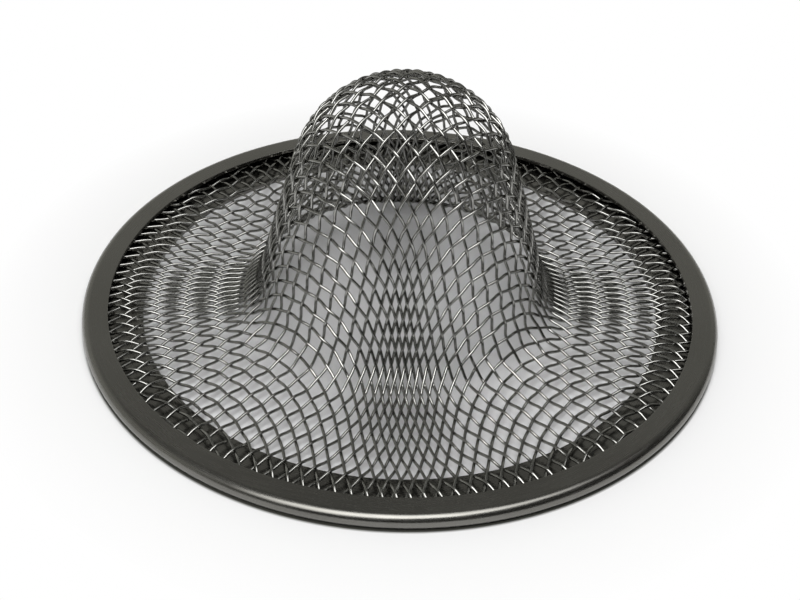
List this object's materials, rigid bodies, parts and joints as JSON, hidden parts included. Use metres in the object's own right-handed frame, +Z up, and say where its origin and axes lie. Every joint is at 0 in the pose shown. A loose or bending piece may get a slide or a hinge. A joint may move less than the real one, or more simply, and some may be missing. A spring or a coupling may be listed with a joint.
{
  "type": "sink strainer",
  "caption": "Round wire-mesh sink strainer: a draped wire-cloth basket with a domed crown, held in a folded stainless rim that rests in a drain.",
  "frame": {"origin": "centre of the rim, on the surface that it lies on", "axes": "+Z up through the crown of the basket, which lies rim down; the wires run at 45 degrees to +X and +Y"},
  "size_m": [0.0719, 0.072, 0.0284],
  "materials": {
    "stainless_sheet": "satin",
    "stainless_wire": "bright drawn"
  },
  "bodies": {
    "root": {"rim_band": "stainless_sheet", "warp_wire_00": "stainless_wire", "warp_wire_01": "stainless_wire", "warp_wire_02": "stainless_wire", "warp_wire_03": "stainless_wire", "warp_wire_04": "stainless_wire", "warp_wire_05": "stainless_wire", "warp_wire_06": "stainless_wire", "warp_wire_07": "stainless_wire", "warp_wire_08": "stainless_wire", "warp_wire_09": "stainless_wire", "warp_wire_10": "stainless_wire", "warp_wire_11": "stainless_wire", "warp_wire_12": "stainless_wire", "warp_wire_13": "stainless_wire", "warp_wire_14": "stainless_wire", "warp_wire_15": "stainless_wire", "warp_wire_16": "stainless_wire", "warp_wire_17": "stainless_wire", "warp_wire_18": "stainless_wire", "warp_wire_19": "stainless_wire", "warp_wire_20": "stainless_wire", "warp_wire_21": "stainless_wire", "warp_wire_22": "stainless_wire", "warp_wire_23": "stainless_wire", "warp_wire_24": "stainless_wire", "warp_wire_25": "stainless_wire", "warp_wire_26": "stainless_wire", "warp_wire_27": "stainless_wire", "warp_wire_28": "stainless_wire", "weft_wire_00": "stainless_wire", "weft_wire_01": "stainless_wire", "weft_wire_02": "stainless_wire", "weft_wire_03": "stainless_wire", "weft_wire_04": "stainless_wire", "weft_wire_05": "stainless_wire", "weft_wire_06": "stainless_wire", "weft_wire_07": "stainless_wire", "weft_wire_08": "stainless_wire", "weft_wire_09": "stainless_wire", "weft_wire_10": "stainless_wire", "weft_wire_11": "stainless_wire", "weft_wire_12": "stainless_wire", "weft_wire_13": "stainless_wire", "weft_wire_14": "stainless_wire", "weft_wire_15": "stainless_wire", "weft_wire_16": "stainless_wire", "weft_wire_17": "stainless_wire", "weft_wire_18": "stainless_wire", "weft_wire_19": "stainless_wire", "weft_wire_20": "stainless_wire", "weft_wire_21": "stainless_wire", "weft_wire_22": "stainless_wire", "weft_wire_23": "stainless_wire", "weft_wire_24": "stainless_wire", "weft_wire_25": "stainless_wire", "weft_wire_26": "stainless_wire", "weft_wire_27": "stainless_wire", "weft_wire_28": "stainless_wire"}
  },
  "joints": []
}
